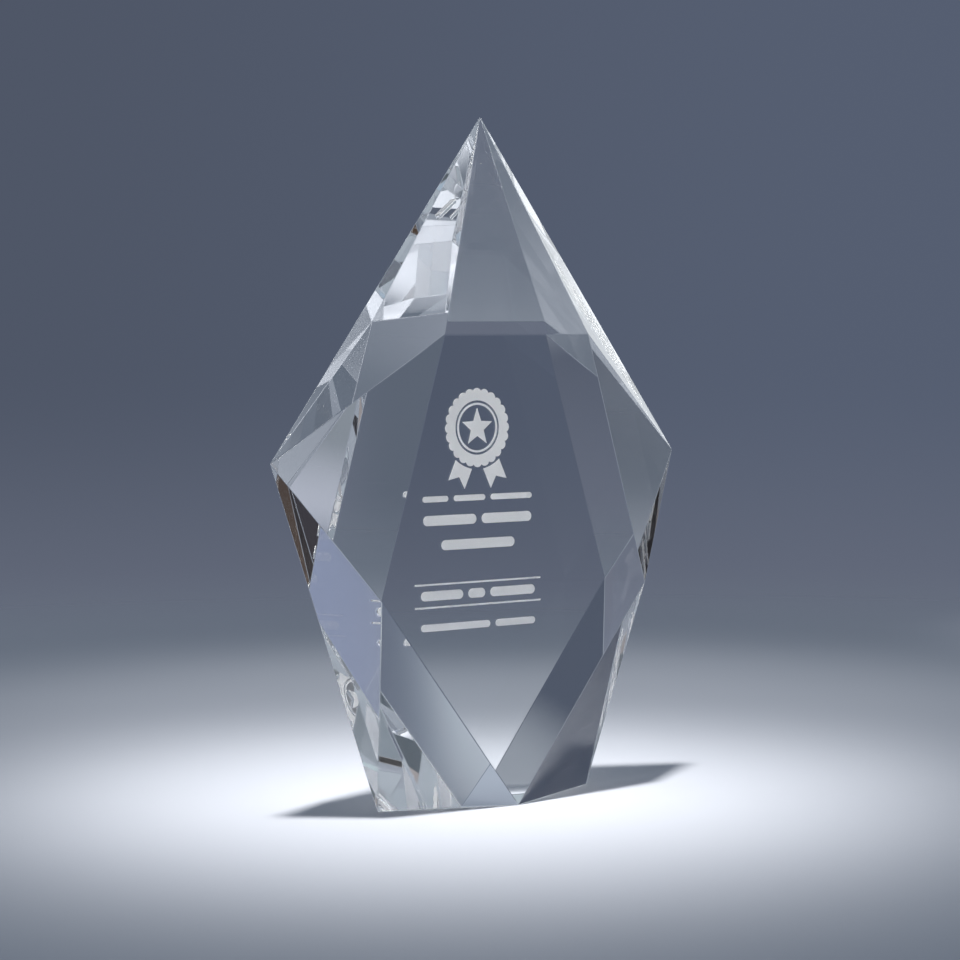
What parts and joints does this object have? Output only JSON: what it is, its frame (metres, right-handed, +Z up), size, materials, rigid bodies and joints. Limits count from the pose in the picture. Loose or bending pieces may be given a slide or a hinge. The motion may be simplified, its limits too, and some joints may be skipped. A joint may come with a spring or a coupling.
{
  "type": "faceted crystal award",
  "caption": "Free-standing clear faceted crystal award, diamond-like outline with a pointed top, a narrow flat base and a frosted rosette and text-row design carved in its back face.",
  "frame": {"origin": "centre of the flat base, on the surface that the award stands on", "axes": "+Z up to the tip, +X to the viewer's right, -Y towards the viewer: the plain front face looks along -Y and the carved back face along +Y"},
  "size_m": [0.17, 0.04, 0.23],
  "materials": {
    "optical_crystal": "clear, colourless and polished, with sharp facet edges",
    "frosted_carving": "sandblasted white frost"
  },
  "bodies": {
    "root": {"crystal_block": "optical_crystal", "emblem_rosette": "frosted_carving", "emblem_ring": "frosted_carving", "emblem_star": "frosted_carving", "emblem_ribbons": "frosted_carving", "heading_row_1": "frosted_carving", "heading_row_2": "frosted_carving", "heading_row_3": "frosted_carving", "upper_rule": "frosted_carving", "name_row": "frosted_carving", "lower_rule": "frosted_carving", "caption_row": "frosted_carving"}
  },
  "joints": []
}
